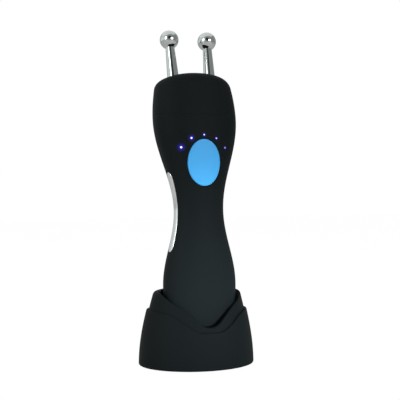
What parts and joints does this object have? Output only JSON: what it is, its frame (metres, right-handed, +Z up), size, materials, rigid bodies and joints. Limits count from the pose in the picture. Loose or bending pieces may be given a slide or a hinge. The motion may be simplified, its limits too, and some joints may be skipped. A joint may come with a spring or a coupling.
{
  "type": "facial toning device",
  "caption": "hand-held facial toning device with chromed ball-ended probes, an oval button and lit windows, standing in a two-shell stand",
  "frame": {"origin": "centre of the stand's foot on the table, at the underside of the rubber feet", "axes": "+Z up, -Y the front with the button, +X the right hand side seen from the front"},
  "size_m": [0.0732, 0.0624, 0.2102],
  "materials": {
    "handset_plastic": "satin black moulding",
    "stand_plastic": "satin black moulding",
    "blue_plastic": "sky blue moulding with a soft sheen",
    "bright_steel": "polished contact strip",
    "chrome_plate": "mirror chrome",
    "zinc_steel": "zinc plated fixings",
    "ballast_steel": "plain steel plate",
    "dark_plastic": "black moulding",
    "clear_guide": "clear light guide",
    "lamp_lens": "lamp with a clear lens",
    "circuit_board": "green lacquered board",
    "copper_winding": "wound copper wire on a ferrite core",
    "cell_wrap": "shrink wrapped cell",
    "soft_rubber": "black rubber"
  },
  "bodies": {
    "stand": {"stand_skirt": "stand_plastic", "stand_collar": "stand_plastic", "cradle_insert": "soft_rubber", "base_plate": "stand_plastic", "ballast_plate": "ballast_steel", "base_screws": "zinc_steel", "rubber_feet": "soft_rubber"},
    "handset": {"front_shell": "handset_plastic", "rear_shell": "handset_plastic", "head_cap": "handset_plastic", "side_contact_left": "bright_steel", "side_contact_right": "bright_steel", "contact_nuts": "zinc_steel", "tact_switch": "dark_plastic", "light_guides": "clear_guide", "leds": "lamp_lens", "main_board": "circuit_board", "control_chip": "dark_plastic", "step_up_coil": "copper_winding", "board_screws": "zinc_steel", "shell_screws": "zinc_steel", "battery_cell": "cell_wrap", "battery_holder": "dark_plastic", "charge_socket": "dark_plastic", "probe_left": "chrome_plate", "probe_right": "chrome_plate", "probe_tags": "zinc_steel", "probe_nuts": "zinc_steel"},
    "button": {"button_cap": "blue_plastic", "switch_plunger": "blue_plastic"}
  },
  "joints": [
    {"name": "handset_lift", "type": "slide", "parent": "stand", "child": "handset", "axis": [0, 0, 1], "range_m": [0, 0.06]},
    {"name": "button_press", "type": "slide", "parent": "handset", "child": "button", "axis": [0, 1, 0], "range_m": [0, 0.0006], "stiffness_N_per_m": 2000}
  ]
}
